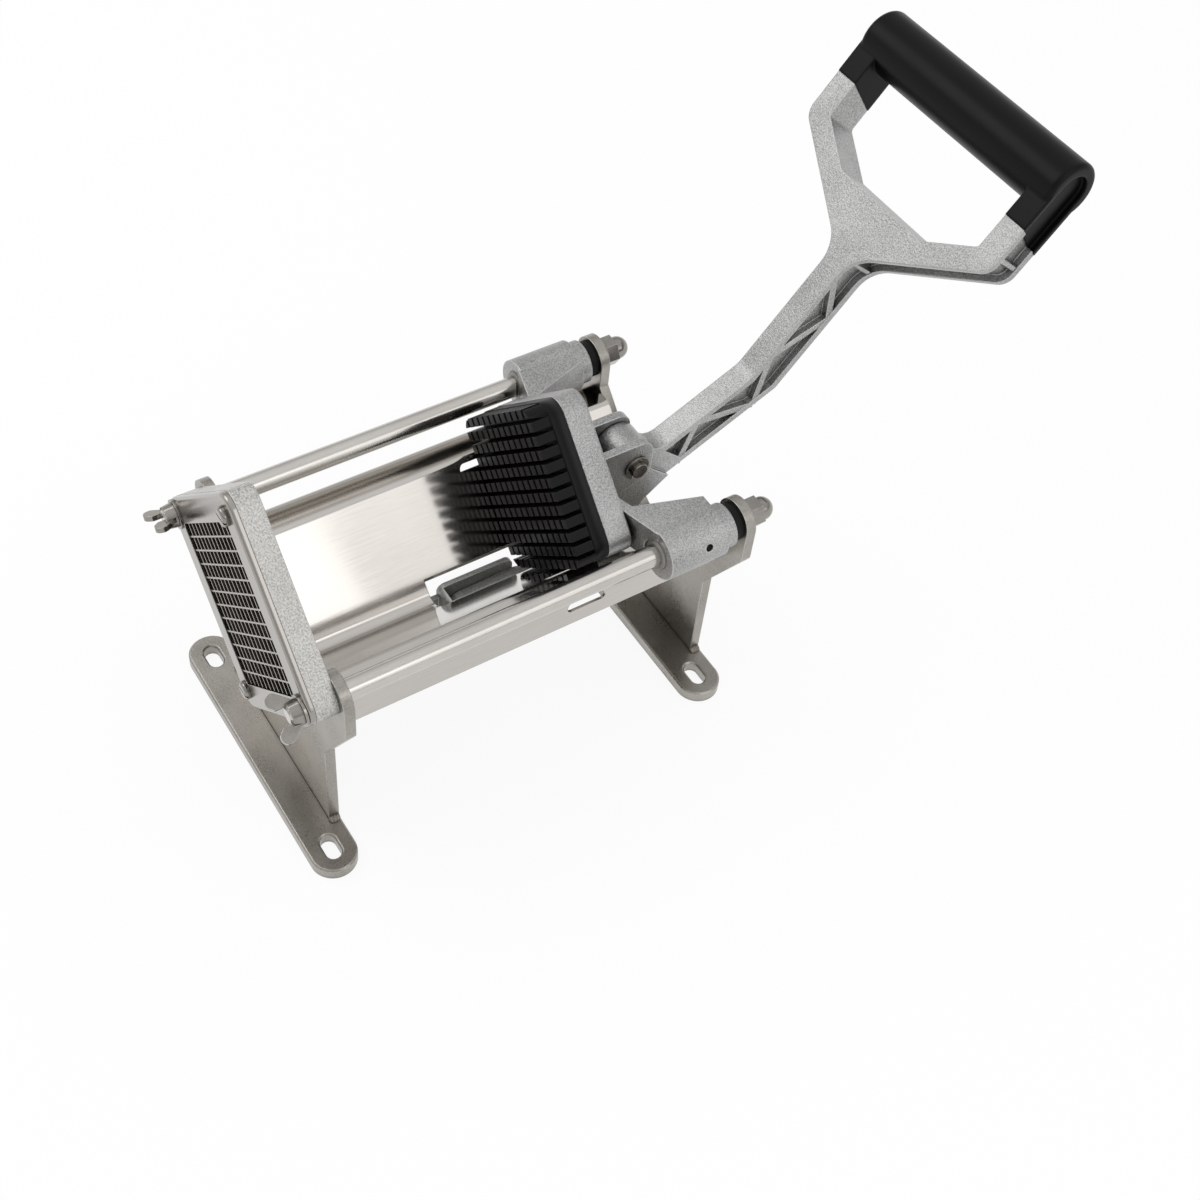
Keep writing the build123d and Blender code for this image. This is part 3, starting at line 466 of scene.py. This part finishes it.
def makeFloor():
    # one square face about the origin, on the table plane
    half = stageSpec["floorHalf"]
    corners = [(-half, -half, 0), (half, -half, 0), (half, half, 0), (-half, half, 0)]
    mesh = bpy.data.meshes.new("studioFloor")
    mesh.from_pydata(corners, [], [(0, 1, 2, 3)])
    floor = bpy.data.objects.new("studioFloor", mesh)
    bpy.context.scene.collection.objects.link(floor)
    paper = bpy.data.materials.new("paperSweep")
    paper.use_nodes = True
    tree = paper.node_tree
    sheet = tree.nodes["Principled BSDF"]
    sheet.inputs["Base Color"].default_value = linear(stageSpec["floor"])
    sheet.inputs["Roughness"].default_value = stageSpec["paperRough"]
    # seen straight on or in metal, the paper is part plain white, and the rest keeps the shadow
    ray = addNode(tree, "LightPath").outputs
    seen = addNode(tree, "Math", {0: ray["Is Camera Ray"], 1: ray["Is Glossy Ray"]}, operation="MAXIMUM")
    seen = addNode(tree, "Math", {
        0: seen.outputs["Value"], 1: ray["Is Transmission Ray"]}, operation="MAXIMUM")
    share = addNode(tree, "Math", {0: seen.outputs["Value"], 1: stageSpec["whiten"]}, operation="MULTIPLY")
    white = addNode(tree, "Emission", {"Color": plainWhite, "Strength": 1.0})
    mixed = addNode(tree, "MixShader", {
        0: share.outputs["Value"], 1: sheet.outputs["BSDF"], 2: white.outputs["Emission"]})
    tree.links.new(mixed.outputs["Shader"], tree.nodes["Material Output"].inputs["Surface"])
    mesh.materials.append(paper)


def makeSurround():
    # its level is the larger of two: a straight rise with the sine of the height, and the sweep
    world = bpy.data.worlds.new("studioSurround")
    bpy.context.scene.world = world
    world.use_nodes = True
    sky = world.node_tree
    height = addNode(sky, "SeparateXYZ", {"Vector": addNode(sky, "TexCoord").outputs["Generated"]})
    rise = addNode(sky, "MapRange", {
        "Value": height.outputs["Z"],
        "To Min": stageSpec["horizonLevel"], "To Max": stageSpec["zenithLevel"]})
    fades, gone = stageSpec["sweep"]
    sweep = addNode(sky, "MapRange", {
        "Value": height.outputs["Z"], "From Min": gone, "From Max": fades}, interpolation_type="SMOOTHSTEP")
    level = addNode(sky, "Math", {
        0: rise.outputs["Result"], 1: sweep.outputs["Result"]}, operation="MAXIMUM")
    sky.links.new(level.outputs["Value"], sky.nodes["Background"].inputs["Strength"])
    sky.nodes["Background"].inputs["Color"].default_value = plainWhite


def makeLamps():
    # each bank is a square lamp, turned so that it faces its aim
    for name, spec in lampSpec.items():
        lamp = bpy.data.lights.new(name, "AREA")
        lamp.size = spec["size"]
        lamp.energy = spec["watts"]
        obj = bpy.data.objects.new(name, lamp)
        bpy.context.scene.collection.objects.link(obj)
        obj.location = spec["at"]
        obj.rotation_euler = (Vector(spec["aim"]) - Vector(spec["at"])).to_track_quat("-Z", "Y").to_euler()


# Camera, placed as the picture was taken: place in metres, angles in degrees, lens and sensor in mm
cameraSpec = {
    "at": (0.4461, -0.2669, 0.6900), "azimuth": 51.80, "down": 50.29, "roll": 7.20,
    "lens": 52.11, "sensor": 36.0, "nearest": 0.01}


def makeCamera():
    # it looks along the azimuth, tipped down; right and up are square to that, and rolled about it
    yaw, pitch, roll = (math.radians(cameraSpec[k]) for k in ("azimuth", "down", "roll"))
    forward = Vector((-math.sin(yaw) * math.cos(pitch), math.cos(yaw) * math.cos(pitch), -math.sin(pitch)))
    right = Vector((math.cos(yaw), math.sin(yaw), 0))
    up = right.cross(forward)
    turnedRight = right * math.cos(roll) + up * math.sin(roll)
    turnedUp = up * math.cos(roll) - right * math.sin(roll)
    data = bpy.data.cameras.new("photoCamera")
    data.lens = cameraSpec["lens"]
    data.sensor_width = cameraSpec["sensor"]
    data.clip_start = cameraSpec["nearest"]
    cam = bpy.data.objects.new("photoCamera", data)
    bpy.context.scene.collection.objects.link(cam)
    turn = Matrix((turnedRight, turnedUp, -forward)).transposed().to_4x4()
    cam.matrix_world = Matrix.Translation(cameraSpec["at"]) @ turn
    bpy.context.scene.camera = cam


makeFloor()
makeSurround()
makeLamps()
makeCamera()
bpy.context.scene.view_settings.view_transform = "Standard"
print("stage, lamps and camera set")
